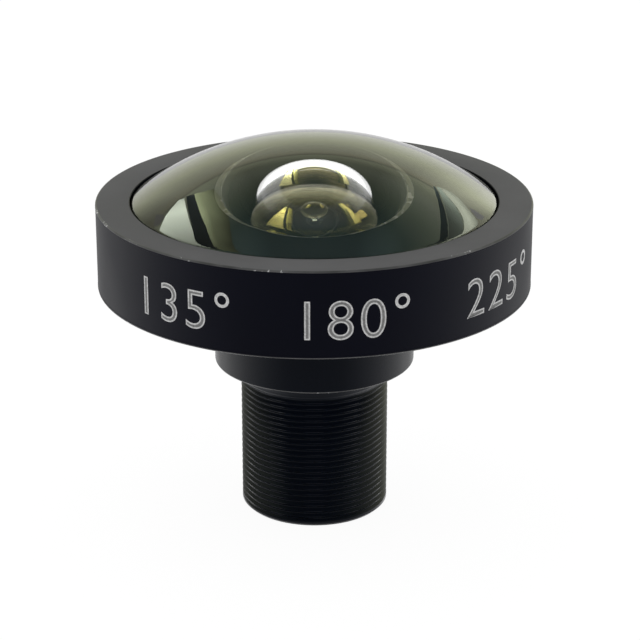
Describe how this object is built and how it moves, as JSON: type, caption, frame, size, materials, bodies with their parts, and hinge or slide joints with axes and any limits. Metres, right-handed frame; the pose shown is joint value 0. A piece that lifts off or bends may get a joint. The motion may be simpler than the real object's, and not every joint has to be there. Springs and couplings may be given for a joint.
{
  "type": "fisheye lens",
  "caption": "Fixed-focus fisheye board-camera lens: wide domed front element in a flat black ring, above a slim M12 threaded barrel.",
  "frame": {"origin": "centre of the barrel's rear face", "axes": "+Z along the optical axis towards the front element; the lens is turned about Z, and the middle numerals on the band face -Y"},
  "size_m": [0.0348, 0.0348, 0.0308],
  "materials": {
    "anodised_ring": "black anodised, fine turned satin",
    "anodised_barrel": "black anodised, turned and threaded",
    "blackened_fittings": "matt black anodised",
    "black_rubber": "smooth matt",
    "black_film": "matt black polyester film",
    "lens_glass": "polished, coated against reflections",
    "filter_glass": "polished, with an infrared-cut coating"
  },
  "bodies": {
    "root": {"front_ring": "anodised_ring", "front_gasket": "black_rubber", "front_element": "lens_glass", "front_o_ring": "black_rubber", "main_barrel": "anodised_barrel", "second_element_retainer": "blackened_fittings", "second_element": "lens_glass", "second_element_mask": "black_film", "inner_retaining_ring": "blackened_fittings", "third_element": "lens_glass", "stop_front_spacer": "blackened_fittings", "aperture_stop": "black_film", "stop_rear_spacer": "blackened_fittings", "fourth_element": "lens_glass", "middle_spacer": "blackened_fittings", "doublet_crown": "lens_glass", "doublet_flint": "lens_glass", "rear_spacer": "blackened_fittings", "rear_mask": "black_film", "rear_element": "lens_glass", "ir_cut_filter": "filter_glass", "filter_ring": "blackened_fittings"}
  },
  "joints": []
}
